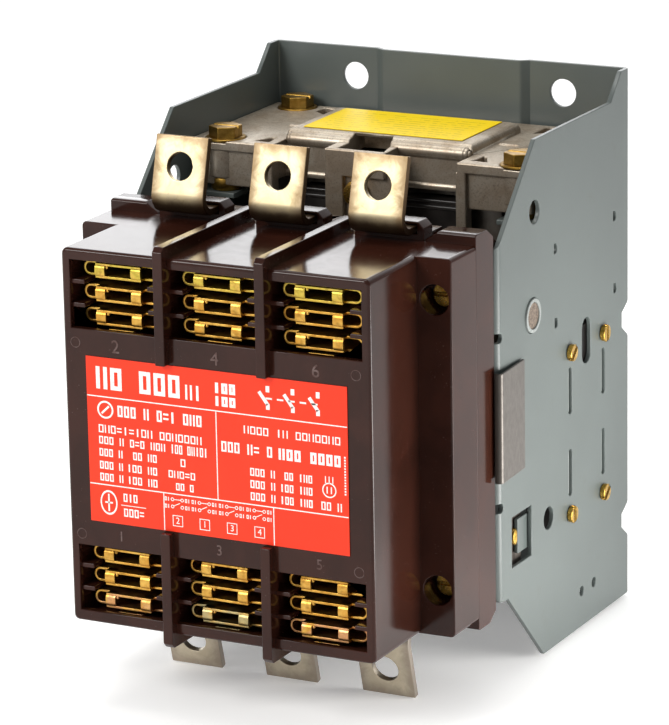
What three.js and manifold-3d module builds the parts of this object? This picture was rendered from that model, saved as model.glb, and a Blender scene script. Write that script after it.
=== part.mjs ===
// Three-pole industrial power contactor, rebuilt as an assembly of separate pieces.
// Units: millimetres. +X right, -Y front, +Z up.
// Shapes are drawn with Y = 0 on the front cover's face and Z = 0 on its lower edge, and the
// whole group is then moved so that the origin is the middle of the back plate's rear face.
import * as THREE from "three";
import { mergeVertices } from "three/addons/utils/BufferGeometryUtils.js";
import Module from "manifold-3d";

const wasm = await Module();
wasm.setup();

// ---------------------------------------------------------------- driving dimensions
const BACK_Y = 213.5; // rear face of the back plate's middle panel
const MID_Z = 82.8; // half height of the frame
const GAP = 0.3; // clearance between neighbouring pieces

const COVER = { halfX: 68.4, flangeX: 83, stepY: 42, rearY: 64.8, top: 155.6, wall: 3.4 };
const MIRROR_Z = COVER.top / 2; // the contact system is symmetric about this height
const POLE = 44.6; // pole pitch
const RIB = { x0: 20.3, x1: 24.6, proud: 4, high: 4.8, rearY: 74, stop: 112.6 };
const WINDOW = { outer: 64.65, z0: 123.1, z1: 151 };
const LABEL = { halfX: 58.2, z0: 43.7, z1: 112.3 };
const UNIT = { halfX: 17.4, high: 7.2, pitch: 9.6, first: 127.4, sheet: 1.1, frontY: 7, rearY: 36 };
const BAR = { width: 24, thick: 3, hole: 5.75 };
const PLATE = { outX: 84.1, thick: 2, frontY: 82.2, rearY: 216 };
const PIVOT = { y: 115.7, z: 115.2, shaftR: 5.5, holeR: 7.4 };
const AUX = { y: 152.4, z0: 20.3, pitchY: 34.3, pitchZ: 70.2 };
const SLIDER_Y = [153.2, 187.6]; // slots over the auxiliary switches
const FLANGE_Z = 172; // top plane of the magnet housing's flange
const POST_X = 68.6; // housing screws, each side
const BOX_Z = 176.6; // top plane of its raised middle
const ARM = { pinY: 173, pinZ: 78, pinR: 4 }; // armature cross pin
const PUSH = { pinY: 112, pinZ: 57, pinR: 3.5 }; // contact carrier's cross pin
const STROKE = 7.9; // open contact gap

// ---------------------------------------------------------------- solid helpers
function solid(geometry) {
  geometry.deleteAttribute("normal");
  geometry.deleteAttribute("uv");
  const merged = mergeVertices(geometry, 1e-4);
  return new wasm.Manifold(
    new wasm.Mesh({
      numProp: 3,
      vertProperties: new Float32Array(merged.attributes.position.array),
      triVerts: new Uint32Array(merged.index.array),
    }),
  );
}

const join = (...parts) => parts.flat().reduce((a, b) => a.add(b));
const cut = (body, ...tools) => tools.flat().reduce((a, b) => a.subtract(b), body);

function box(x0, x1, y0, y1, z0, z1) {
  const g = new THREE.BoxGeometry(Math.abs(x1 - x0), Math.abs(y1 - y0), Math.abs(z1 - z0));
  g.translate((x0 + x1) / 2, (y0 + y1) / 2, (z0 + z1) / 2);
  return solid(g);
}

// An outline [[a, b], ...] pushed out from depth d0 to d1 along one axis.
function prism(axis, outline, d0, d1) {
  const lo = Math.min(d0, d1);
  const hi = Math.max(d0, d1);
  const shape = new THREE.Shape(outline.map(([a, b]) => new THREE.Vector2(a, b)));
  const g = new THREE.ExtrudeGeometry(shape, { depth: hi - lo, bevelEnabled: false });
  const m = new THREE.Matrix4();
  const v = (x, y, z) => new THREE.Vector3(x, y, z);
  if (axis === "x") m.makeBasis(v(0, 1, 0), v(0, 0, 1), v(1, 0, 0)).setPosition(lo, 0, 0);
  if (axis === "y") m.makeBasis(v(1, 0, 0), v(0, 0, 1), v(0, -1, 0)).setPosition(0, hi, 0);
  if (axis === "z") m.makeTranslation(0, 0, lo);
  g.applyMatrix4(m);
  return solid(g);
}

// A round bar along an axis; a and b are the other two coordinates, in X, Y, Z order.
function rod(axis, r, a, b, d0, d1, segments = 16) {
  const g = new THREE.CylinderGeometry(r, r, Math.abs(d1 - d0), segments);
  const mid = (d0 + d1) / 2;
  if (axis === "x") g.rotateZ(Math.PI / 2).translate(mid, a, b);
  if (axis === "y") g.translate(a, mid, b);
  if (axis === "z") g.rotateX(Math.PI / 2).translate(a, b, mid);
  return solid(g);
}

// The outline of a bent strip of sheet: a centre line with rounded corners and a thickness.
function strip(points, radius, thick, steps = 4) {
  const line = [];
  points.forEach(([x, y, r = radius], i) => {
    const p = new THREE.Vector2(x, y);
    if (i === 0 || i === points.length - 1) {
      line.push(p);
      return;
    }
    const back = new THREE.Vector2(...points[i - 1].slice(0, 2)).sub(p).normalize();
    const on = new THREE.Vector2(...points[i + 1].slice(0, 2)).sub(p).normalize();
    const half = Math.acos(THREE.MathUtils.clamp(back.dot(on), -1, 1)) / 2;
    const reach = r / Math.tan(half);
    const a = p.clone().addScaledVector(back, reach);
    const b = p.clone().addScaledVector(on, reach);
    const c = p.clone().addScaledVector(back.clone().add(on).normalize(), r / Math.sin(half));
    for (let k = 0; k <= steps; k++) {
      const t = a.clone().lerp(b, k / steps).sub(c).setLength(r).add(c);
      line.push(t);
    }
  });
  const left = [];
  const right = [];
  line.forEach((p, i) => {
    const before = line[Math.max(i - 1, 0)];
    const after = line[Math.min(i + 1, line.length - 1)];
    const t = after.clone().sub(before).normalize();
    const n = new THREE.Vector2(-t.y, t.x).multiplyScalar(thick / 2);
    left.push([p.x + n.x, p.y + n.y]);
    right.push([p.x - n.x, p.y - n.y]);
  });
  return left.concat(right.reverse());
}

// A rectangle with rounded corners, as an outline.
function roundedRect(x0, x1, y0, y1, r, steps = 4) {
  const out = [];
  const corners = [
    [x1 - r, y0 + r, -90],
    [x1 - r, y1 - r, 0],
    [x0 + r, y1 - r, 90],
    [x0 + r, y0 + r, 180],
  ];
  for (const [cx, cy, from] of corners)
    for (let k = 0; k <= steps; k++) {
      const a = THREE.MathUtils.degToRad(from + (90 * k) / steps);
      out.push([cx + r * Math.cos(a), cy + r * Math.sin(a)]);
    }
  return out;
}

// A coil spring along +Z from z = 0, closed at both ends.
function spring(radius, wire, turns, length, perTurn = 8, ring = 5) {
  const steps = turns * perTurn;
  const vertices = [];
  const faces = [];
  for (let i = 0; i <= steps; i++) {
    const a = (i / perTurn) * 2 * Math.PI;
    const z = wire + ((length - 2 * wire) * i) / steps;
    for (let k = 0; k < ring; k++) {
      const b = (k / ring) * 2 * Math.PI;
      const r = radius + wire * Math.cos(b);
      vertices.push(r * Math.cos(a), r * Math.sin(a), z + wire * Math.sin(b));
    }
  }
  const at = (i, k) => i * ring + (k % ring);
  for (let i = 0; i < steps; i++)
    for (let k = 0; k < ring; k++) {
      faces.push(at(i, k), at(i + 1, k), at(i + 1, k + 1));
      faces.push(at(i, k), at(i + 1, k + 1), at(i, k + 1));
    }
  for (let k = 1; k < ring - 1; k++) {
    faces.push(at(0, 0), at(0, k), at(0, k + 1));
    faces.push(at(steps, 0), at(steps, k + 1), at(steps, k));
  }
  const g = new THREE.BufferGeometry();
  g.setAttribute("position", new THREE.Float32BufferAttribute(vertices, 3));
  g.setIndex(faces);
  const made = solid(g);
  if (made.volume() > 0) return made;
  const turned = [];
  for (let i = 0; i < faces.length; i += 3) turned.push(faces[i], faces[i + 2], faces[i + 1]);
  g.setIndex(turned);
  return solid(g);
}

// A slotted screw with its head's underside at z = 0 and its head towards +Z.
function slottedScrew(headR, headH, shankR, shankL, { hex = false, washer = 0 } = {}) {
  const head = hex
    ? rod("z", headR, 0, 0, washer, washer + headH, 6)
    : rod("z", headR, 0, 0, 0, headH, 18);
  const parts = [head, rod("z", shankR, 0, 0, -shankL, 0.2, 12)];
  if (washer) parts.push(rod("z", headR * 1.02, 0, 0, 0, washer + 0.1, 20));
  const top = washer + headH;
  return cut(join(parts), box(-headR * 1.2, headR * 1.2, -0.6, 0.6, top - 1.1, top + 1));
}

// ---------------------------------------------------------------- the group
const root = new THREE.Group();
root.name = "contactor";

function add(name, body, colour, metalness = 0, roughness = 0.5) {
  const m = body.getMesh();
  const g = new THREE.BufferGeometry();
  const xyz = new Float32Array(m.numVert * 3);
  for (let i = 0; i < m.numVert; i++)
    xyz.set(m.vertProperties.subarray(i * m.numProp, i * m.numProp + 3), i * 3);
  g.setAttribute("position", new THREE.BufferAttribute(xyz, 3));
  g.setIndex(new THREE.BufferAttribute(new Uint32Array(m.triVerts), 1));
  g.computeVertexNormals();
  const paint = new THREE.MeshStandardMaterial({ color: colour, metalness, roughness });
  paint.flatShading = true;
  const mesh = new THREE.Mesh(g, paint);
  mesh.name = name;
  root.add(mesh);
}

const SIDES = [
  ["left", -1],
  ["right", 1],
];
const BROWN = 0x3b2a28;
const GREY = 0x9aa8a6;
const BRASS = 0xc9a23a;
const STEEL = 0xb8b8b4;
const ALUMINIUM = 0xa39b92;
const SILVER = 0xc9c0ad;
const BLACK = 0x1d1b1b;
const flipZ = (points) => points.map(([y, z, r]) => [y, COVER.top - z, r]);

// ---------------------------------------------------------------- sheet steel frame
function mountingFrame() {
  const mid = PLATE.outX - PLATE.thick / 2;
  const rear = PLATE.rearY - 1;
  const front = PLATE.frontY + 1;
  const plan = [
    [-74, front],
    [-mid, front, 2],
    [-mid, rear, 1.6],
    [-33.5, rear, 1.5],
    [-30, rear - 2.5, 1.5],
    [35, rear - 2.5, 1.5],
    [38.5, rear, 1.5],
    [mid, rear, 1.6],
    [mid, front, 2],
    [74, front],
  ];
  const sheet = prism("z", strip(plan, 2, PLATE.thick, 3), -40, 206);
  const side = [
    [216.5, 199],
    [207, 199],
    [195.9, 187.7],
    [119, 187.7],
    [82.1, 149.8],
    [82.1, 4],
    [83.5, 2],
    [90.4, 1.5],
    [125.6, -33.4],
    [216.5, -33.4],
  ];
  let frame = sheet.intersect(prism("x", side, -90, 90));
  // shelves bent in from the side plates, which carry the magnet housing
  for (const [, s] of SIDES)
    for (const y of [139, 205])
      frame = frame.add(box(s * 82.6, s * 61, y - 8, y + 8, 147.5, 149.7));
  const tools = [];
  for (const [, s] of SIDES) {
    const x0 = s * 70;
    const x1 = s * 90;
    const x = (r, y, z, n) => rod("x", r, y, z, x0, x1, n);
    tools.push(x(PIVOT.holeR, PIVOT.y, PIVOT.z, 24));
    tools.push(x(5, 118.2, 157.9), x(4.9, 130.8, 24.6));
    tools.push(x(2.2, 164.7, -17.7, 12), x(2.2, 177.5, -17.6, 12));
    tools.push(prism("x", roundedRect(165.6, 174.4, 81.4, 101.3, 4.3, 3), x0, x1));
    for (const y of [AUX.y, AUX.y + AUX.pitchY])
      for (const z of [AUX.z0, AUX.z0 + AUX.pitchZ]) tools.push(x(2.3, y, z, 12));
    for (const y of SLIDER_Y)
      for (const [z0, z1] of [[27.9, 48.3], [63.6, 83.7]])
        tools.push(prism("x", roundedRect(y - 1.9, y + 1.9, z0, z1, 1.85, 3), x0, x1));
    tools.push(box(x0, x1, 94.2, 113.7, 13.6, 35.1));
    for (const [y, z] of [[138.8, 138], [199.8, 138.3], [139.3, 106.4], [200.3, 106.8]])
      tools.push(prism("x", halfMoon(y, z, 4.2), x0, x1));
    const edge = [s * 79.5, x1];
    tools.push(prism("x", [[207.8, 94], [217, 99.4], [217, 81], [207.8, 87.6]], ...edge));
    tools.push(prism("x", [[207.6, 4.1], [217, 9.6], [217, -8.9], [207.6, -1.8]], ...edge));
    for (const z of [113.3, 42])
      tools.push(prism("x", roundedRect(80, 86.2, z - 1.9, z + 1.9, 1.8, 3), x0, x1));
    for (const y of [139, 205]) tools.push(rod("z", 4.4, s * POST_X, y, 140, 152, 16));
  }
  for (const x of [-44.4, 54.1])
    for (const z of [186, -20.4]) tools.push(rod("y", 6, x, z, 205, 220, 24));
  tools.push(box(-82, 82, 81, 86, 150, 160));
  return cut(frame, tools);
}

// A small D-shaped hole with its straight side towards the front.
function halfMoon(y, z, high) {
  const points = [[y - 1.4, z - high / 2], [y, z - high / 2]];
  for (const a of [-54, -18, 18, 54].map(THREE.MathUtils.degToRad))
    points.push([y + 1.7 * Math.cos(a), z + (high / 2) * Math.sin(a)]);
  return [...points, [y, z + high / 2], [y - 1.4, z + high / 2]];
}

// ---------------------------------------------------------------- moulded contact system
function contactBase() {
  const shoulder = [
    [65.1, -3.8], [66.5, -4.4], [75.5, -4.4], [81.7, -0.4],
    [81.7, 156], [75.5, 160], [66.5, 160], [65.1, 159.4],
  ];
  const across = [[60, 0.2], [66.8, -4.6], [83, -4.6], [83, 160.2], [66.8, 160.2], [60, 155.4]];
  const overhang = [[81, 156.4], [81.7, 156], [87.5, 152.3], [87.5, 150.3], [81, 150.3]];
  const parts = [box(-72, 72, 78, 92, 3, 152.6)];
  for (const [, s] of SIDES) {
    const ends = across.map(([x, z]) => [s * x, z]);
    const slope = prism("y", s > 0 ? ends : ends.reverse(), 60, 90);
    parts.push(prism("x", shoulder, s * 60.5, s * 82.7).intersect(slope));
    parts.push(prism("x", overhang, s * 64, s * 81.6));
    parts.push(box(s * 62.5, s * 72, 81, 92, 3, 152.6));
  }
  parts.push(box(-63, 63, 65.1, 79, 150, 155.3), box(-63, 63, 65.1, 79, 0.3, 5.6));
  for (const x of [-POLE, 0, POLE]) {
    const saddle = [
      [x - 15.4, 152], [x - 15.4, 160.4], [x - 12.9, 163], [x + 12.9, 163],
      [x + 15.4, 160.4], [x + 15.4, 152],
    ].reverse();
    parts.push(prism("y", saddle, 65.1, 73.5));
    parts.push(prism("y", flipZ(saddle).reverse(), 65.1, 73.5));
    parts.push(box(x - 14.6, x + 14.6, 73, 84, 152, 157.4));
    parts.push(box(x - 14.6, x + 14.6, 73, 84, COVER.top - 157.4, COVER.top - 152));
  }
  const tools = [box(-61.5, 61.5, 60, 100, 44, 98)];
  for (const x of [-POLE, 0, POLE]) {
    tools.push(box(x - 12.4, x + 12.4, 73.9, 78.3, -10, 170));
    tools.push(box(x - 12.4, x + 12.4, 50, 78.3, 158, 161.8));
    tools.push(box(x - 12.4, x + 12.4, 50, 78.3, COVER.top - 161.8, COVER.top - 158));
  }
  for (const [, s] of SIDES)
    for (const z of [19, 138.5]) tools.push(rod("y", 2.3, s * 75.5, z, 60, 79, 12));
  return cut(join(parts), tools);
}

function frontCover() {
  const { halfX, flangeX, stepY, rearY, top, wall } = COVER;
  const shell = prism("y", roundedRect(-halfX, halfX, 0, top, 2.5), 0, stepY + 1);
  const flange = prism("y", roundedRect(-flangeX, flangeX, 0, top, 2), stepY, rearY);
  const parts = [shell, flange];
  const tools = [box(-65, 65, wall, rearY + 1, wall, top - wall)];
  for (const [, s] of SIDES) {
    const profile = [
      [-RIB.proud, RIB.stop - 0.1], [1, RIB.stop - 0.1], [1, top - 0.5], [RIB.rearY, top + 0.05],
      [RIB.rearY, top + RIB.high], [-RIB.proud + 2, top + RIB.high],
      [-RIB.proud, top + RIB.high - 2],
    ];
    const x = [s * RIB.x0, s * RIB.x1];
    parts.push(prism("x", profile, ...x), prism("x", flipZ(profile), ...x));
    for (const z of [19, 138.5]) {
      tools.push(rod("y", 6.2, s * 75.5, z, 40, 54, 20));
      tools.push(rod("y", 2.8, s * 75.5, z, 50, 70, 12));
    }
  }
  const across = [[-WINDOW.outer, -RIB.x1], [-RIB.x0, RIB.x0], [RIB.x1, WINDOW.outer]];
  for (const [x0, x1] of across) {
    tools.push(box(x0, x1, -1, wall + 1, WINDOW.z0, WINDOW.z1));
    tools.push(box(x0, x1, -1, wall + 1, 5, 32.7));
  }
  let cover = cut(join(parts), tools);
  // partitions between the arc chambers and the comb tabs that carry the splitters
  for (const x of [-POLE / 2, POLE / 2])
    for (const [z0, z1] of [[wall - 0.5, 58], [98, top - wall + 0.5]])
      cover = cover.add(box(x - 1.2, x + 1.2, wall - 0.5, rearY, z0, z1));
  for (const x of [-POLE, 0, POLE])
    for (const s of [-1, 1])
      for (const z0 of [UNIT.first, COVER.top - UNIT.first - 2 * UNIT.pitch])
        for (const k of [0.5, 1.5]) {
          const z = z0 + k * UNIT.pitch;
          const far = x + s * (x * s > 40 ? 20.6 : 21.4);
          cover = cover.add(box(far, x + s * 14.2, 1.6, 12, z - 0.95, z + 0.95));
        }
  return cover;
}

// ---------------------------------------------------------------- live parts
function terminal(x, upper) {
  const centre = [[60.6, 190.3], [52.6, 159.9, 6], [76.2, 159.9, 3], [76.2, 124]];
  const path = upper ? centre : flipZ(centre);
  const bar = prism("x", strip(path, 4, BAR.thick, 5), x - BAR.width / 2, x + BAR.width / 2);
  const g = new THREE.CylinderGeometry(BAR.hole, BAR.hole, 14, 28);
  g.rotateX(THREE.MathUtils.degToRad(upper ? -14.7 : 14.7));
  g.translate(x, 57.4, upper ? 178.2 : COVER.top - 178.2);
  const z = upper ? 124.5 : COVER.top - 134.5;
  return join(cut(bar, solid(g)), box(x - 6, x + 6, 73.2, 75, z, z + 10));
}

function bridge(x) {
  const low = COVER.top - 134.5;
  return join(
    box(x - 7.5, x + 7.5, 60.3, 63.8, low, 134.5),
    box(x - 6, x + 6, 63.7, 73.2 - STROKE, low, low + 10),
    box(x - 6, x + 6, 63.7, 73.2 - STROKE, 124.5, 134.5),
  );
}

// Three flattened tubes of sheet brass, each with two folded tabs across its front,
// riveted to a spine at the back, and a thin fin below the lowest one.
function splitterStack(x, lowest) {
  const { halfX, high, pitch, sheet, frontY, rearY } = UNIT;
  const parts = [box(x - 5, x + 5, rearY - 1.2, rearY, lowest - 4.9, lowest + 2 * pitch + 2)];
  for (let k = 0; k < 3; k++) {
    const z = lowest + k * pitch;
    const z0 = z - high / 2;
    const z1 = z + high / 2;
    const outer = roundedRect(x - halfX, x + halfX, z0, z1, high / 2 - 0.01, 2);
    const inner = roundedRect(
      x - halfX + sheet, x + halfX - sheet, z0 + sheet, z1 - sheet, high / 2 - sheet - 0.01, 2,
    );
    let unit = prism("y", outer, 3.6, rearY);
    unit = cut(unit, prism("y", inner, 0, rearY + 1));
    unit = cut(unit, box(x - 30, x - 10.3, 0, frontY, z - 5, z + 5));
    unit = cut(unit, box(x + 10.3, x + 30, 0, frontY, z - 5, z + 5));
    for (const s of [-1, 1]) {
      const fold = strip([[7.5, z0 + 0.55], [4.3, z0 + 0.55, 2.4], [4.3, z1 - 0.55, 2.4],
        [7.5, z1 - 0.55]], 2.4, 1.1, 2);
      unit = unit.add(prism("x", fold, x + s * 5.7, x + s * 10.3));
    }
    parts.push(unit);
  }
  parts.push(box(x - 5.5, x + 5.5, 6, rearY, lowest - 4.9, lowest - 4.1));
  return join(parts);
}

// ---------------------------------------------------------------- magnet system
function magnetHousing() {
  const parts = [
    box(-81.7, -43, 131, 211, 167.6, FLANGE_Z),
    box(43, 81.7, 131, 211, 167.6, FLANGE_Z),
    box(-44, 44, 146.5, 211, 168, FLANGE_Z),
    box(-57, 57, 145.5, 148.5, 156, 170),
    box(-57, -54.5, 147, 209, 156, 170),
    box(54.5, 57, 147, 209, 156, 170),
  ];
  const dome = [
    [-43.5, 171], [-43.5, 173.6], [-42.6, 175.8], [-40.5, BOX_Z],
    [40.5, BOX_Z], [42.6, 175.8], [43.5, 173.6], [43.5, 171],
  ];
  const along = [
    [147, 171], [146.2, 173], [147, 175.6], [149.2, BOX_Z],
    [191.5, BOX_Z], [194, 175.2], [195, 171],
  ];
  parts.push(prism("y", dome.reverse(), 140, 200).intersect(prism("x", along.reverse(), -50, 50)));
  parts.push(rod("x", 1.7, 146.4, 157.4, -53, 53, 12));
  // rounded bead along the foot of the raised middle
  for (const [r, end] of [[2.9, 40.6], [2.5, 42], [1.5, 42.9]])
    parts.push(rod("x", r, 145.9, 172.3, -end, end, 20));
  // fixing posts, front gussets and legs
  for (const [, s] of SIDES) {
    for (const y of [139, 205]) parts.push(rod("z", 7.6, s * POST_X, y, 155.6, 168, 20));
    parts.push(box(s * 43, s * 76, 133, 136, 152.4, 168));
    parts.push(box(s * 42.5, s * 47.3, 131, 137, 140.5, 168));
    parts.push(box(s * 43, s * 46, 133, 148, 156, 168));
    parts.push(box(s * 44.5, s * 54, 168.5, 171, 171, FLANGE_Z + 0.6));
  }
  // open pocket at the middle of the front edge, with the leg at its left
  parts.push(box(-17, 10.6, 129.5, 148, 162, 173.4));
  parts.push(box(-17, -8.5, 129.5, 137, 140.5, 164), box(-9, 16, 131.8, 137, 140.5, 166));
  const mouth = [[-12.2, 132.4], [9, 132.4], [5.4, 149.6], [-12.2, 149.6]];
  const tools = [prism("z", mouth, 163.9, 180), box(-12.2, 5.4, 146, 158, 164.2, 174.8)];
  for (const [, s] of SIDES) {
    for (const y of [139, 205]) {
      tools.push(rod("z", 8.8, s * POST_X, y, 171, 180, 24));
      tools.push(rod("z", 4.4, s * POST_X, y, 150, 180, 14));
    }
    const pocket = [[47, 137.5], [54, 137.5], [50.5, 145], [48, 147]];
    const rear = [[49, 194], [57, 200.5], [57, 207.5], [49, 207.5]];
    for (const p of [pocket, rear]) {
      const turned = p.map(([x, y]) => [s * x, y]);
      tools.push(prism("z", s > 0 ? turned : turned.reverse(), 168.8, 180));
    }
  }
  return cut(join(parts), tools);
}

function eCore() {
  const outline = [
    [-52.5, 167], [-52.5, 100], [-37, 100], [-37, 151.8], [-13, 151.8], [-13, 100],
    [13, 100], [13, 151.8], [37, 151.8], [37, 100], [52.5, 100], [52.5, 167],
  ];
  return prism("y", outline.reverse(), 155, 192);
}

function coilBobbin() {
  const parts = [
    box(-35.5, 35.5, 147, 206, 103, 105.5),
    box(-35.5, 35.5, 147, 206, 148.6, 151.3),
    box(-41, 41, 146.4, 153.6, 150.2, 151.6),
    box(-41, 41, 146.4, 153.6, 147.4, 149),
    box(-41, 41, 147.4, 150, 103, 151),
    box(-15.4, 15.4, 152.9, 194.1, 104, 150),
  ];
  return cut(join(parts), box(-13.5, 13.5, 154.6, 192.4, 90, 160));
}

function coilWinding() {
  const outer = prism("z", roundedRect(-34, 34, 150.4, 204.5, 4), 106, 147);
  return cut(outer, box(-15.8, 15.8, 152.5, 194.5, 100, 155));
}

function armature() {
  const outline = [
    [-52.5, 70], [52.5, 70], [52.5, 92], [37, 92], [37, 84], [13, 84],
    [13, 92], [-13, 92], [-13, 84], [-37, 84], [-37, 92], [-52.5, 92],
  ];
  const stack = prism("y", outline, 155, 192);
  return join(stack, rod("x", ARM.pinR, ARM.pinY, ARM.pinZ, -63.5, 63.5, 20));
}

function rockerLever() {
  const parts = [rod("x", 9.5, PIVOT.y, PIVOT.z, -61, 61, 24)];
  const arms = [
    [105, 119], [105, 111], [105, 50], [119, 50], [119, 100], [124, 102],
    [160, 68], [181, 68], [181, 88], [166, 90], [127, 121], [118, 126.5], [110, 125],
  ];
  for (const [, s] of SIDES) parts.push(prism("x", arms, s * 57, s * 61));
  const tools = [rod("x", PIVOT.shaftR + 0.3, PIVOT.y, PIVOT.z, -70, 70, 24)];
  for (const [, s] of SIDES) {
    tools.push(box(s * 55, s * 63, ARM.pinY - 10.5, 184, ARM.pinZ - 5, ARM.pinZ + 5));
    tools.push(box(s * 55, s * 63, PUSH.pinY - 4.2, PUSH.pinY + 4.2, 48, PUSH.pinZ + 5.5));
  }
  return cut(join(parts), tools);
}

function contactCarrier() {
  const parts = [box(-58, 58, 46, 72, 65.8, 89.8)];
  const stem = [[71, 52], [71, 84], [96, 84], [118, 66], [118, 52]];
  for (const [, s] of SIDES) parts.push(prism("x", stem.reverse(), s * 40, s * 54));
  parts.push(box(-54, 54, 92.5, 97, 56, 76));
  parts.push(rod("x", PUSH.pinR, PUSH.pinY, PUSH.pinZ, -63, 63, 16));
  const tools = [];
  for (const x of [-POLE, 0, POLE]) tools.push(box(x - 8.5, x + 8.5, 49.5, 68, 60, 95));
  return cut(join(parts), tools);
}

// ---------------------------------------------------------------- small pieces
function sideClip(s) {
  const path = [[s * 83.7, 79.7], [s * 86.4, 79.7, 1.1], [s * 85.05, 104.4]];
  return prism("z", strip(path, 1.1, 1.2, 3), 53.9, 99.9);
}

function auxBlock(s, z0) {
  const x0 = s * 66;
  const x1 = s * 81.8;
  const parts = [box(x0, x1, 147.5, 197.5, z0, z0 + 40)];
  parts.push(box(x0, s * 63.8, 158, 187, z0 + 8, z0 + 32));
  const tools = [];
  for (const y of SLIDER_Y) {
    const low = z0 < 40 ? 28 : 63.6;
    tools.push(box(x1, s * 74, y - 1.9, y + 1.9, low, low + 20.2));
  }
  for (const y of [AUX.y, AUX.y + AUX.pitchY])
    tools.push(rod("x", 2.15, y, z0 < 40 ? AUX.z0 : AUX.z0 + AUX.pitchZ, s * 70, s * 90, 12));
  return cut(join(parts), tools);
}

function shaftBush(s) {
  const outer = rod("x", PIVOT.holeR - 0.25, PIVOT.y, PIVOT.z, s * 81.5, s * 84.9, 28);
  const collar = rod("x", 9.4, PIVOT.y, PIVOT.z, s * 79.6, s * 81.8, 28);
  const bore = rod("x", PIVOT.shaftR + 0.08, PIVOT.y, PIVOT.z, s * 70, s * 90, 28);
  return cut(join(outer, collar), bore);
}

// ---------------------------------------------------------------- assembly
add("mounting_frame", mountingFrame(), GREY, 0.3, 0.5);
add("contact_base", contactBase(), BROWN, 0, 0.35);
add("front_cover", frontCover(), BROWN, 0, 0.3);
const ratingPlate = box(-LABEL.halfX, LABEL.halfX, -0.45, -0.1, LABEL.z0, LABEL.z1);
add("rating_label", ratingPlate, 0xf03a2c);
for (const [k, x] of [-POLE, 0, POLE].entries()) {
  add("terminal_upper_" + (k + 1), terminal(x, true), SILVER, 0.9, 0.4);
  add("terminal_lower_" + (k + 1), terminal(x, false), SILVER, 0.9, 0.4);
  const low = COVER.top - UNIT.first - 2 * UNIT.pitch;
  add("arc_splitter_upper_" + (k + 1), splitterStack(x, UNIT.first), BRASS, 0.9, 0.35);
  add("arc_splitter_lower_" + (k + 1), splitterStack(x, low), BRASS, 0.9, 0.35);
  add("contact_bridge_" + (k + 1), bridge(x), SILVER, 0.9, 0.4);
  const coil = spring(5.2, 0.8, 4, 7.6).rotate([90, 0, 0]).translate([x, 60, MIRROR_Z]);
  add("contact_spring_" + (k + 1), coil, STEEL, 0.9, 0.3);
}
add("magnet_housing", magnetHousing(), ALUMINIUM, 0.8, 0.5);
add("magnet_label", box(-37, 37, 150, 189.5, BOX_Z + 0.1, BOX_Z + 0.45), 0xf3d22a);
add("magnet_core", eCore(), 0x6a6a6c, 0.8, 0.5);
add("coil_bobbin", coilBobbin(), BLACK, 0, 0.5);
add("coil_winding", coilWinding(), 0x2a2320, 0, 0.6);
add("armature", armature(), 0x6a6a6c, 0.8, 0.5);
add("rocker_lever", rockerLever(), ALUMINIUM, 0.8, 0.5);
add("rocker_shaft", rod("x", PIVOT.shaftR, PIVOT.y, PIVOT.z, -84.4, 84.4, 28), STEEL, 0.9, 0.3);
add("contact_carrier", contactCarrier(), 0x3a2c24, 0, 0.5);

let housingScrew = 0;
for (const [side, s] of SIDES) {
  add("shaft_bush_" + side, shaftBush(s), 0xe8e4da, 0, 0.5);
  add("side_clip_" + side, sideClip(s), 0x6f6862, 0.6, 0.5);
  add("aux_block_upper_" + side, auxBlock(s, 57.5), 0x2c2a2a, 0, 0.5);
  add("aux_block_lower_" + side, auxBlock(s, 13), 0x2c2a2a, 0, 0.5);
  add("return_spring_" + side, spring(6, 0.9, 5, 18.4).translate([s * 25, 173.5, 84.3]), STEEL, 0.9, 0.3);
  let n = 0;
  for (const z of [AUX.z0, AUX.z0 + AUX.pitchZ])
    for (const y of [AUX.y, AUX.y + AUX.pitchY]) {
      n += 1;
      const screw = slottedScrew(3.6, 2.2, 1.9, 11).rotate([0, s * 90, 0]);
      add(`aux_screw_${side}_${n}`, screw.translate([s * 84.4, y, z]), BRASS, 0.9, 0.3);
    }
  for (const [name, z] of [["lower", 19], ["upper", 138.5]]) {
    const screw = slottedScrew(5, 2.6, 2, 21).rotate([90, 0, 0]);
    add(`cover_screw_${name}_${side}`, screw.translate([s * 75.5, 53.7, z]), BRASS, 0.9, 0.3);
  }
  for (const y of [139, 205]) {
    housingScrew += 1;
    const screw = slottedScrew(7.2, 4.9, 4, 25, { hex: true, washer: 0.9 });
    add(`housing_screw_${housingScrew}`, screw.translate([s * POST_X, y, 171.4]), BRASS, 0.9, 0.35);
  }
}

root.position.set(0, -BACK_Y, -MID_Z);
root.updateMatrixWorld(true);

export default root;
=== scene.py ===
"""Looks for a three-pole power contactor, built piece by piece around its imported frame."""

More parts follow.
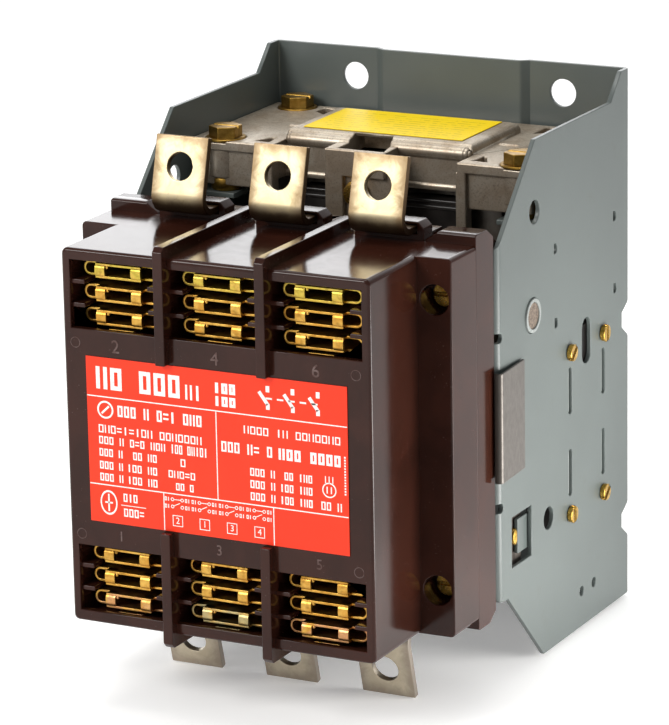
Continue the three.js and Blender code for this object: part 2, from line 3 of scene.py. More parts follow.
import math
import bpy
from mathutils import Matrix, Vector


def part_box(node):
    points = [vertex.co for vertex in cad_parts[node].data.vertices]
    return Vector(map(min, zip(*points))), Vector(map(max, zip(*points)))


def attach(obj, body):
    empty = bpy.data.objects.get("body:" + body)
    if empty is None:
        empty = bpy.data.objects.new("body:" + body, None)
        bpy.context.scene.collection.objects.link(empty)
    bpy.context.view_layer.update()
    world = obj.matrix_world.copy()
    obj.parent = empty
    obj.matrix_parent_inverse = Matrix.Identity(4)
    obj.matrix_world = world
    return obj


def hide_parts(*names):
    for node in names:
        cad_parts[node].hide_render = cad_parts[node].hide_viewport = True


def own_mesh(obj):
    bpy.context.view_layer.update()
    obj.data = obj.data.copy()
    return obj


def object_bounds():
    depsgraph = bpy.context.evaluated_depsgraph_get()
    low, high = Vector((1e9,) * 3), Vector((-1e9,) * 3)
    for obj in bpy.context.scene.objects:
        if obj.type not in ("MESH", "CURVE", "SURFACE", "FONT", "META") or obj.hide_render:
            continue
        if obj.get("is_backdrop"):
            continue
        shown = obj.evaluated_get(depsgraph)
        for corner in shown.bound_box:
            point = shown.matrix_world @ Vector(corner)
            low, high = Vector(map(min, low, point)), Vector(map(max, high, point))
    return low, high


bl_info = {
    "name": "Power Contactor Looks",
    "version": (1, 0, 0),
    "blender": (4, 5, 0),
    "location": "View3D > Sidebar > Contactor",
    "description": "Mouldings, sheet metal, brass and print of a three-pole power contactor",
    "category": "Object",
}

import bmesh
import bpy
from mathutils import Matrix, Vector

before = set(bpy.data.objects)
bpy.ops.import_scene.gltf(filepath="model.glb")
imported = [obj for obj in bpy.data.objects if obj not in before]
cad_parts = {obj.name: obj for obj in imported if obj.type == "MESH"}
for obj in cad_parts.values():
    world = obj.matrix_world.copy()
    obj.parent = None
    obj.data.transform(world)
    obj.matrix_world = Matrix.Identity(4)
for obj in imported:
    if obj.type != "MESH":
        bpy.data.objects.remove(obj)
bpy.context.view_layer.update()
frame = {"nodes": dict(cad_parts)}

# ------------------------------------------------------------------ where things are
# Pieces are drawn in millimetres: X right from the middle, Y back from the cover's face,
# Z up from the cover's lower edge. The rating label fixes where that drawing lies.
MM = 0.001
LABEL_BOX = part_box("rating_label")
ORIGIN = Vector((0.0, LABEL_BOX[0].y + 0.45 * MM, LABEL_BOX[0].z - 43.7 * MM))
COVER_TOP = 155.6
POLES = (-44.6, 0.0, 44.6)
LABEL_FACE = -0.45
# One splitter: half its width, its height, the pitch and first height of a stack, and how far back
# its body, its rear end and the front of its cut-out are. notch and tongue bound the cut-outs.
UNIT = {"half": 17.4, "high": 6.1, "pitch": 9.6, "first": 127.4, "step": 7.0, "rear": 36.0,
        "front": 3.8, "notch": 10.3, "tongue": 5.7}
HOUSING_SCREWS = ((-68.6, 139), (-68.6, 205), (68.6, 139), (68.6, 205))
# Edges that turn by more than this are corners.
CORNER = math.radians(34)
# Facets that meet within this many degrees are one face, and points within this distance are one.
FLAT_DEGREES = 1
WELD = 2e-6
# The height of a numeral in Blender's own font, as a share of its size.
NUMERAL_HEIGHT = 0.73


def spot(x, y, z):
    """A point of the drawing, in the frame's metres."""
    return ORIGIN + Vector((x, y, z)) * MM


def drawn(point):
    """A point of the frame, in the drawing's millimetres."""
    return (point - ORIGIN) / MM


def settings():
    """The values that a user may change."""
    return bpy.context.scene.contactor_looks


# ------------------------------------------------------------------ shader sums
def tint(code):
    """A linear colour from a hexadecimal sRGB code."""
    parts = [int(code[k : k + 2], 16) / 255 for k in (1, 3, 5)]
    lin = [c / 12.92 if c <= 0.04045 else ((c + 0.055) / 1.055) ** 2.4 for c in parts]
    return (*lin, 1.0)


def scaled(colour, gain=1.0):
    """A colour made darker or brighter, with full alpha."""
    return (*[c * gain for c in colour[:3]], 1.0)


class Value:
    """A shader socket that takes part in ordinary sums."""

    def __init__(self, graph, socket):
        self.graph = graph
        self.socket = socket

    def sum(self, operation, *terms):
        """One step of arithmetic on this value."""
        return self.graph.node("ShaderNodeMath", {"operation": operation}, dict(enumerate(terms)))

    def __add__(self, other):
        return self.sum("ADD", self, other)

    __radd__ = __add__

    def __sub__(self, other):
        return self.sum("SUBTRACT", self, other)

    def __rsub__(self, other):
        return self.sum("SUBTRACT", other, self)

    def __mul__(self, other):
        return self.sum("MULTIPLY", self, other)

    __rmul__ = __mul__

    def __abs__(self):
        return self.sum("ABSOLUTE", self)

    def fold(self, width):
        """Runs up and down between 0 and width."""
        return self.sum("PINGPONG", self, width)

    def step(self, low, high):
        """0 below low, 1 above high, smooth between."""
        wanted = {"interpolation_type": "SMOOTHSTEP"}
        return self.graph.node("ShaderNodeMapRange", wanted, {0: self, 1: low, 2: high})


class Graph:
    """One procedural material and the nodes that it is made of."""

    def __init__(self, tree):
        self.tree = tree
        tree.nodes.clear()

    def node(self, kind, wanted=None, inputs=None, output=0):
        """A new node with its settings and inputs, and the value that it gives."""
        made = self.tree.nodes.new(kind)
        for key, setting in (wanted or {}).items():
            setattr(made, key, setting)
        for key, value in (inputs or {}).items():
            if isinstance(value, Value):
                self.tree.links.new(value.socket, made.inputs[key])
            else:
                made.inputs[key].default_value = value
        return Value(self, made.outputs[output])

    def place(self):
        """The point that is shaded, in the frame's metres."""
        return self.node("ShaderNodeTexCoord", output="Object")

    def axis(self, name):
        """One coordinate of the frame, in millimetres."""
        return self.node("ShaderNodeSeparateXYZ", inputs={0: self.place()}, output=name) * 1000

    def noise(self, grain_mm, detail=2.0, rough=0.5, warp=0.0, stretch=None):
        """Cloudy noise whose lumps are about grain_mm across."""
        at = self.place()
        if stretch:
            at = self.node("ShaderNodeVectorMath", {"operation": "MULTIPLY"}, {0: at, 1: stretch})
        inputs = {"Vector": at, "Scale": 1000 / grain_mm, "Detail": detail}
        inputs.update({"Roughness": rough, "Distortion": warp})
        return self.node("ShaderNodeTexNoise", None, inputs)

    def mix(self, factor, first, second):
        """first where factor is 0, second where it is 1."""
        return self.node(
            "ShaderNodeMix", {"data_type": "RGBA"}, {0: factor, 6: first, 7: second}, 2
        )

    def bump(self, height, depth_mm, normal=None):
        """Raises the surface by depth_mm where height is 1."""
        inputs = {"Height": height, "Distance": depth_mm * MM, "Strength": 1.0}
        if normal:
            inputs["Normal"] = normal
        return self.node("ShaderNodeBump", None, inputs)

    def surface(self, **inputs):
        """Ends the graph with the principled surface."""
        named = {key.replace("_", " "): value for key, value in inputs.items()}
        lit = self.node("ShaderNodeBsdfPrincipled", None, named)
        out = self.tree.nodes.new("ShaderNodeOutputMaterial")
        self.tree.links.new(lit.socket, out.inputs[0])

    def facing(self, name):
        """How far the surface faces along one axis, from -1 to 1."""
        normal = self.node("ShaderNodeNewGeometry", output="Normal")
        return self.node("ShaderNodeSeparateXYZ", inputs={0: normal}, output=name)


# ------------------------------------------------------------------ finishes
def phenolic(g, look):
    """Glossy purple-brown moulded phenolic, with dust and faint flow marks."""
    colour = look.moulding
    cloud = g.noise(34, 4, 0.6, 0.6)
    flow = g.noise(7, 3, 0.55, 1.2, (1.0, 1.0, 0.35))
    dust = g.noise(0.9, 1).step(0.69, 0.78) * g.noise(12, 2).step(0.42, 0.62)
    base = g.mix(cloud.step(0.3, 0.7), scaled(colour, 0.8), scaled(colour, 1.28))
    base = g.mix(flow.step(0.5, 0.85) * 0.15, base, tint("#3c2016"))
    base = g.mix(dust * 0.2, base, tint("#6d5d56"))
    skin = g.noise(1.3, 2)
    normal = g.bump(skin, 0.004, g.bump(g.noise(22, 1), 0.04))
    g.surface(
        Base_Color=base, Roughness=0.08 + 0.12 * flow + 0.3 * dust, IOR=1.31, Normal=normal
    )


def worn_phenolic(g, look):
    """The same moulding where raised marks have been rubbed paler."""
    colour = look.moulding
    rub = g.noise(1.6, 3)
    base = g.mix(rub.step(0.35, 0.7), scaled(colour, 2.0), tint("#64504c"))
    g.surface(Base_Color=base, Roughness=0.3 + 0.2 * rub, Normal=g.bump(g.noise(0.7), 0.004))


def grey_paint(g, look):
    """Grey stove enamel on sheet steel, slightly orange-peeled and handled."""
    colour = look.paint
    cloud = g.noise(60, 3, 0.6)
    grime = g.noise(16, 4, 0.7).step(0.58, 0.8)
    speck = g.noise(1.1, 1).step(0.73, 0.79) * g.noise(30, 2).step(0.4, 0.7)
    base = g.mix(cloud.step(0.3, 0.7), scaled(colour, 0.93), scaled(colour, 1.06))
    base = g.mix(grime * 0.16, base, tint("#6f6a60"))
    base = g.mix(speck * 0.5, base, tint("#56534e"))
    peel = g.noise(1.5, 2, 0.5)
    normal = g.bump(peel, 0.012, g.bump(g.noise(24, 1), 0.05))
    g.surface(Base_Color=base, Roughness=0.32 + 0.1 * cloud + 0.1 * grime, Normal=normal)


def splitter_brass(g, look):
    """Rolled brass, greenish at the top of the stacks and heat-tinted at the very bottom."""
    height = g.axis("Z")
    top = height.step(56, 64)
    cloud = g.noise(6, 3, 0.6, 0.8)
    tarnish = g.noise(2.2, 3, 0.6).step(0.45, 0.75)
    base = g.mix(cloud.step(0.3, 0.7), scaled(look.brass), tint("#bc8838"))
    base = g.mix(top * 0.6 * cloud.step(0.25, 0.6), base, tint("#c2bc50"))
    base = g.mix(tarnish * 0.4, base, tint("#6e4e20"))
    heat = (1 - height.step(-70, -68)) * g.noise(7, 2, 0.5, 0.6).step(0.3, 0.6)
    middle = 1 - abs(g.axis("X")).step(20, 24)
    base = g.mix(heat * (1 - middle) * 0.5, base, tint("#b88474"))
    base = g.mix(heat * middle * 0.5, base, tint("#8aa08a"))
    # painted shade: the deeper parts of the stacks, inside the cover's windows, are mixed half way
    # to dark brown
    recess_shade = g.axis("Y").step(-208, -192)
    base = g.mix(recess_shade * 0.5, base, tint("#4a3416"))
    lines = g.noise(0.8, 2, 0.6, 0.0, (1.0, 0.25, 1.0))
    g.surface(
        Base_Color=base,
        Metallic=1.0,
        Roughness=0.32 + 0.16 * tarnish + 0.08 * lines,
        Normal=g.bump(lines, 0.004),
    )


def hex_brass(g, look):
    """Old turned brass: bright on the flats, brown in the hollows."""
    stain = g.noise(3.2, 4, 0.65, 0.6)
    base = g.mix(stain.step(0.3, 0.7), scaled(look.brass, 0.66), tint("#8a6a2c"))
    turning = g.noise(0.6, 2, 0.5, 0.0, (1.0, 1.0, 3.0))
    g.surface(
        Base_Color=base, Metallic=1.0, Roughness=0.26 + 0.2 * stain, Normal=g.bump(turning, 0.006)
    )


def screw_brass(g, look):
    """Small bright cheese-head screws with turning marks."""
    stain = g.noise(1.8, 3, 0.6)
    base = g.mix(stain.step(0.35, 0.75), scaled(look.brass, 1.1), tint("#a08034"))
    g.surface(
        Base_Color=base, Metallic=1.0, Roughness=0.2 + 0.16 * stain,
        Normal=g.bump(g.noise(0.5, 2), 0.005),
    )


def plated_bar(g, look):
    """Silvered copper bar: bright in the middle, tarnished bronze at the edges and bends, with
    painted shade on its side faces and on its foot.
    """
    offset = abs(g.axis("X")).fold(22.3)
    away = abs(g.axis("Z") + 5.0)
    cloud = g.noise(9, 4, 0.65, 0.9)
    edge = (offset + 7.0 * cloud).step(9.5, 15.5)
    end = (away + 6 * cloud).step(110, 116)
    # the foot, where the bar runs back under the moulding, is darkened by real tarnish and by
    # painted shadow
    foot_tarnish_and_shadow = 1 - (away + 5 * cloud).step(86.5, 93.5)
    brown = (edge + foot_tarnish_and_shadow - edge * foot_tarnish_and_shadow).step(0.05, 1.0)
    blotch = g.noise(3.5, 4, 0.7, 1.0).step(0.58, 0.72)
    base = g.mix(cloud.step(0.25, 0.75), scaled(look.silver), tint("#d6c49a"))
    base = g.mix(blotch * 0.3, base, tint("#8a6f48"))
    base = g.mix((edge + end - edge * end) * 0.72, base, tint("#7c5c3c"))
    # painted shade: faces that look left or right are darkened towards dark brown
    base = g.mix(abs(g.facing("X")).step(0.4, 0.9) * 0.8, base, tint("#4c3724"))
    # the foot goes nearly to dark brown: tarnish and painted shadow
    base = g.mix(foot_tarnish_and_shadow * 0.92, base, tint("#3d2818"))
    low = 1 - g.axis("Z").step(-70, -40)
    base = g.mix(low * 0.6, base, tint("#aaa49c"))
    scratch = g.noise(1.0, 3, 0.7, 0.0, (0.35, 1.0, 1.6))
    g.surface(
        Base_Color=base,
        Metallic=0.96,
        Roughness=0.34 + 0.14 * cloud + 0.12 * brown,
        Normal=g.bump(scratch, 0.006, g.bump(g.noise(14, 1), 0.03)),
    )


def cast_aluminium(g, look):
    """Die-cast aluminium, mottled and dulled brown by age, with painted shade that leaves only the
    tops bright.
    """
    cloud = g.noise(13, 5, 0.68, 0.7)
    grain = g.noise(0.8, 3, 0.7)
    base = g.mix(cloud.step(0.3, 0.72), scaled(look.aluminium), tint("#a5947f"))
    base = g.mix(grain.step(0.5, 0.7) * 0.5, base, tint("#5e5044"))
    # painted shade: faces that do not look up are darkened towards brown
    base = g.mix((1 - g.facing("Z").step(0.1, 0.7)) * 0.45, base, tint("#4a3e34"))
    normal = g.bump(grain, 0.03, g.bump(g.noise(5, 3, 0.6), 0.05))
    g.surface(
        Base_Color=base, Metallic=0.6, Roughness=0.26 + 0.14 * cloud + 0.14 * grain, Normal=normal
    )


def red_print(g, look):
    """The red field of the rating label, a varnished foil with slight waves."""
    cloud = g.noise(28, 3)
    colour = look.label_red
    base = g.mix(cloud.step(0.3, 0.7), scaled(colour, 0.95), scaled(colour, 1.05))
    base = g.mix(g.noise(1.4, 1).step(0.72, 0.8) * 0.25, base, tint("#c04030"))
    g.surface(
        Base_Color=base, Roughness=0.34 + 0.12 * g.noise(9, 2), IOR=1.38,
        Normal=g.bump(g.noise(17, 1), 0.04, g.bump(g.noise(0.9), 0.002)),
    )


def white_print(g, look):
    """White ink, a little uneven."""
    ink = g.noise(1.2, 2)
    base = g.mix(ink.step(0.4, 0.8), tint("#fbf4ef"), tint("#efdcd6"))
    g.surface(Base_Color=base, Roughness=0.42 + 0.1 * ink)


def yellow_print(g, look):
    """Yellow foil with rows of faint, illegible small print."""
    along, across = g.axis("X"), g.axis("Y")
    line = 1 - across.fold(1.9).step(0.45, 0.75)
    word = g.noise(2.6, 2, 0.7, 0.0, (1.0, 0.35, 1.0)).step(0.46, 0.52)
    rows = (across + 64.5).step(0, 0.4) * (1 - (across + 29).step(0, 0.4))
    field = rows * (1 - abs(along).step(31, 33))
    colour = look.label_yellow
    base = g.mix(g.noise(20, 3), scaled(colour, 0.96), scaled(colour, 1.04))
    base = g.mix(line * word * field * 0.36, base, tint("#8f8428"))
    g.surface(
        Base_Color=base, Roughness=0.42 + 0.1 * line, IOR=1.2, Normal=g.bump(g.noise(20, 1), 0.04)
    )


def clip_steel(g, look):
    """Blackened spring steel rubbed grey along its length, with painted shade on the faces that
    look to the front.
    """
    rub = g.noise(2.4, 4, 0.7, 0.3, (1.0, 1.0, 0.6))
    base = g.mix(rub.step(0.3, 0.7), tint("#66615c"), tint("#59544f"))
    # painted shade: faces that look to the front are darkened
    base = g.mix((0 - g.facing("Y")).step(0.3, 0.8) * 0.75, base, tint("#39342f"))
    fine = g.noise(0.7, 3, 0.7)
    g.surface(
        Base_Color=base, Metallic=0.6, Roughness=0.34 + 0.1 * rub, Normal=g.bump(fine, 0.003)
    )


def ground_steel(g, look):
    """The sawn and ground end of the pivot shaft."""
    grit = g.noise(0.8, 4, 0.75)
    base = g.mix(grit.step(0.35, 0.7), tint("#9a8a7c"), tint("#5e534a"))
    g.surface(
        Base_Color=base, Metallic=0.9, Roughness=0.36 + 0.2 * grit, Normal=g.bump(grit, 0.03)
    )


def laminated_steel(g, look):
    """Edges of stacked laminations, lightly oiled."""
    groove = 1 - g.axis("Y").fold(0.5).step(0.02, 0.16)
    oil = g.noise(8, 3)
    base = g.mix(oil.step(0.3, 0.7), tint("#77736e"), tint("#58524b"))
    base = g.mix(groove * 0.6, base, tint("#2a2622"))
    g.surface(
        Base_Color=base, Metallic=0.85, Roughness=0.38 + 0.12 * oil, Normal=g.bump(groove, -0.05)
    )


def black_moulding(g, look):
    """Black bobbin and switch mouldings, satin, with dust in the corners."""
    cloud = g.noise(11, 4, 0.6)
    dust = g.noise(1.0, 2).step(0.66, 0.76)
    base = g.mix(cloud.step(0.35, 0.7), tint("#151312"), tint("#25211f"))
    base = g.mix(dust * 0.35, base, tint("#5a544d"))
    g.surface(
        Base_Color=base, Roughness=0.26 + 0.2 * cloud + 0.2 * dust,
        Normal=g.bump(g.noise(1.2, 2), 0.01),
    )


def coil_tape(g, look):
    """Varnished cloth tape wound round the coil."""
    lap = g.axis("Z").fold(2.4).step(0.1, 0.5)
    weave = g.noise(0.5, 2)
    base = g.mix(g.noise(9, 3), tint("#3a2a1a"), tint("#20170f"))
    base = g.mix((1 - lap) * 0.5, base, tint("#120d09"))
    g.surface(
        Base_Color=base, Roughness=0.4 + 0.15 * weave,
        Normal=g.bump(lap, 0.12, g.bump(weave, 0.02)),
    )


def pale_nylon(g, look):
    """Greyed nylon bearing bush."""
    cloud = g.noise(4, 3)
    base = g.mix(cloud, tint("#8e9492"), tint("#7a7d7a"))
    g.surface(Base_Color=base, Roughness=0.35 + 0.1 * cloud, Normal=g.bump(g.noise(0.8), 0.006))


def dark_carrier(g, look):
    """Fibre-filled contact carrier, matt brown-black."""
    fibre = g.noise(1.6, 4, 0.7, 0.6, (1.0, 1.0, 0.3))
    base = g.mix(fibre.step(0.35, 0.7), tint("#2b211b"), tint("#46382c"))
    g.surface(Base_Color=base, Roughness=0.48 + 0.12 * fibre, Normal=g.bump(fibre, 0.03))


def contact_copper(g, look):
    """Moving contact bar, warm copper with oxidised patches."""
    oxide = g.noise(4, 4, 0.65)
    base = g.mix(oxide.step(0.35, 0.7), tint("#c48a5e"), tint("#6e4029"))
    g.surface(
        Base_Color=base, Metallic=0.95, Roughness=0.3 + 0.2 * oxide,
        Normal=g.bump(g.noise(1), 0.006),
    )


def dark_bracket(g, look):
    """Folded steel bracket, oiled nearly black."""
    oil = g.noise(3, 3, 0.6, 0.3)
    base = g.mix(oil.step(0.3, 0.7), tint("#57514b"), tint("#3a332d"))
    g.surface(Base_Color=base, Metallic=0.3, Roughness=0.5 + 0.2 * oil)


def spring_wire(g, look):
    """Drawn spring wire."""
    draw = g.noise(1.4, 3)
    base = g.mix(draw, tint("#a9a6a0"), tint("#76716a"))
    g.surface(Base_Color=base, Metallic=0.95, Roughness=0.28 + 0.15 * draw)


def studio_paper(g, look):
    """Matt white paper sweep."""
    base = g.mix(g.noise(300, 2), tint("#f4f4f3"), tint("#fafafa"))
    g.surface(
        Base_Color=base, Roughness=0.85 + 0.05 * g.noise(4),
        Emission_Color=tint("#ffffff"), Emission_Strength=0.25,
    )


FINISHES = {}


def finish(make):
    """The material that a finish makes, made once."""
    if make.__name__ not in FINISHES:
        material = bpy.data.materials.new(make.__name__)
        material.use_nodes = True
        make(Graph(material.node_tree), settings())
        FINISHES[make.__name__] = material
    return FINISHES[make.__name__]


# ------------------------------------------------------------------ mesh code
def placed(name, data):
    """A new object in the scene."""
    obj = bpy.data.objects.new(name, data)
    bpy.context.scene.collection.objects.link(obj)
    return obj


def dress(obj, make, body, replaces=()):
    """Gives a piece its finish, its body and the nodes it stands for."""
    obj.data.materials.clear()
    obj.data.materials.append(finish(make))
    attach(obj, body)
    if replaces:
        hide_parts(*replaces)
    return obj


def soften(obj, width_mm):
    """Rounds the marked edges and shades the piece smooth."""
    bevel = obj.modifiers.new("edges", "BEVEL")
    bevel.limit_method = "WEIGHT"
    bevel.width = width_mm * MM
    bevel.segments = 2
    bevel.use_clamp_overlap = False
    bevel.miter_outer = "MITER_SHARP"
    flat = obj.modifiers.new("flat faces", "WEIGHTED_NORMAL")
    flat.keep_sharp = True
    flat.weight = 100


def mark_edges(bm, weight=None):
    """Marks the corners to round, and creases the inside ones.

    weight gives the share of the rounding at a point of the drawing."""
    layer = bm.edges.layers.float.new("bevel_weight_edge")
    for face in bm.faces:
        face.smooth = True
    for edge in bm.edges:
        turn = edge.calc_face_angle_signed(0.0)
        share = 0.0
        if turn > CORNER:
            share = weight(drawn((edge.verts[0].co + edge.verts[1].co) / 2)) if weight else 1.0
        edge[layer] = share
        edge.smooth = abs(turn) <= CORNER or share > 0


def refined(node, make, bevel, body="frame", weight=None, turn=0.0):
    """A copy of a node's own mesh with its facets merged and its edges rounded."""
    bm = bmesh.new()
    bm.from_mesh(frame["nodes"][node].data)
    bmesh.ops.remove_doubles(bm, verts=bm.verts, dist=WELD)
    flat = math.radians(FLAT_DEGREES)
    bmesh.ops.dissolve_limit(bm, angle_limit=flat, verts=bm.verts, edges=bm.edges)
    if turn:
        low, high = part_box(node)
        spin = Matrix.Rotation(turn, 3, "X")
        bmesh.ops.rotate(bm, cent=(low + high) / 2, matrix=spin, verts=bm.verts)
    mark_edges(bm, weight)
    mesh = bpy.data.meshes.new(node + "_look")
    bm.to_mesh(mesh)
    bm.free()
    obj = placed(node + "_look", mesh)
    soften(obj, bevel)
    return dress(obj, make, body, (node,))


def paint(node, make):
    """A node that keeps its own mesh and only gets a better finish."""
    mesh = frame["nodes"][node].data
    mesh.materials.clear()
    mesh.materials.append(finish(make))


class Piece:
    """Mesh code for one new piece, drawn in the drawing's millimetres."""

    def __init__(self, name):
        self.name = name
        self.bm = bmesh.new()

    def loft(self, rings, wrap=False):
        """Skins closed rings of points, one after another, and caps them unless they wrap."""
        rows = [[self.bm.verts.new(spot(*p)) for p in ring] for ring in rings]
        pairs = list(zip(rows, rows[1:])) + ([(rows[-1], rows[0])] if wrap else [])
        count = len(rows[0])
        for row, following in pairs:
            for k in range(count):
                n = (k + 1) % count
                self.bm.faces.new((row[k], row[n], following[n], following[k]))
        if not wrap:
            self.bm.faces.new(rows[0][::-1])
            self.bm.faces.new(rows[-1])

    def box(self, x0, x1, y0, y1, z0, z1):
        """A block between two corners."""
        plan = ((x0, y0), (x1, y0), (x1, y1), (x0, y1))
        self.loft([[(x, y, z) for x, y in plan] for z in (z0, z1)])

    def prism(self, outline, y0, y1):
        """An outline in X and Z, drawn out along Y."""
        self.loft([[(x, y, z) for x, z in outline] for y in (y0, y1)])

    def lathe(self, axis, centre, profile, steps=32, wrap=False, flat=1.0):
        """Turns (radius, distance along the axis) pairs; centre is the other two coordinates."""
        rings = []
        for radius, along in profile:
            ring = []
            for k in range(steps):
                a = 2 * math.pi * k / steps
                u, v = centre[0] + radius * math.cos(a), centre[1] + radius * flat * math.sin(a)
                ring.append({"x": (along, u, v), "y": (u, along, v), "z": (u, v, along)}[axis])
            rings.append(ring)
        self.loft(rings, wrap=wrap)

    def figure(self, text, x, z, high, y0, y1):
        """A numeral that stands up from a face towards the front."""
        curve = bpy.data.curves.new("numeral", "FONT")
        curve.body = text
        curve.align_x, curve.align_y = "CENTER", "CENTER"
        source = placed("numeral", curve)
        bpy.context.view_layer.update()
        flat = source.evaluated_get(bpy.context.evaluated_depsgraph_get()).to_mesh()
        scale = high / NUMERAL_HEIGHT
        across, upward = zip(*[v.co.xy for v in flat.vertices])
        mid_a, mid_b = (min(across) + max(across)) / 2, (min(upward) + max(upward)) / 2
        for polygon in flat.polygons:
            corners = [flat.vertices[i].co for i in polygon.vertices]
            self.prism(
                [(x + (c.x - mid_a) * scale, z + (c.y - mid_b) * scale) for c in corners], y0, y1
            )
        bpy.data.objects.remove(source)
        bpy.data.curves.remove(curve)

    def make(self, make, slot, bevel=0.0, replaces=()):
        """Turns what was drawn into a dressed piece of the frame."""
        bm = self.bm
        bmesh.ops.recalc_face_normals(bm, faces=bm.faces)
        mark_edges(bm)
        mesh = bpy.data.meshes.new(self.name)
        bm.to_mesh(mesh)
        bm.free()
        if not bevel:
            mesh.set_sharp_from_angle(angle=CORNER)
        obj = placed(self.name, mesh)
        if bevel:
            soften(obj, bevel)
        return dress(obj, make, "frame", replaces)


# ------------------------------------------------------------------ operators
class ContactorOperator(bpy.types.Operator):
    """What the piece-making operators have in common."""

    bl_options = {"REGISTER", "UNDO"}

    def execute(self, context):
        if not frame["nodes"]:
            raise RuntimeError("the packed frame holds no nodes")
        self.build(context.scene.contactor_looks)
        return {"FINISHED"}


class CONTACTOR_OT_mouldings(ContactorOperator):
    """Front cover and contact base, with pole numbers and ejector marks"""

    bl_idname = "contactor.mouldings"
    bl_label = "Mouldings"

    def build(self, look):
        def cover_edge(p):
            rim = abs(p.x) > 65.5 or p.z < 2.6 or p.z > COVER_TOP - 2.6
            return 1.0 if abs(p.y) < 0.3 and rim else 0.26

        refined("front_cover", phenolic, look.cover_round, weight=cover_edge)
        refined("contact_base", phenolic, 0.45)
        numbers = Piece("pole_numbers")
        for x, above, below in zip(POLES, "246", "135"):
            numbers.figure(above, x, 117.2, 5.6, 0.1, -0.14)
            numbers.figure(below, x, 38.4, 4.4, 0.1, -0.1)
        numbers.make(worn_phenolic, "brown_moulding")
        marks = Piece("ejector_marks")
        for x in (-62.9, 62.0):
            for z in (117.2, 37.4):
                marks.lathe("y", (x, z), [(2.2, 0.1), (2.2, -0.1), (1.95, -0.1), (1.95, 0.1)],
                            32, wrap=True)
        marks.make(worn_phenolic, "brown_moulding")


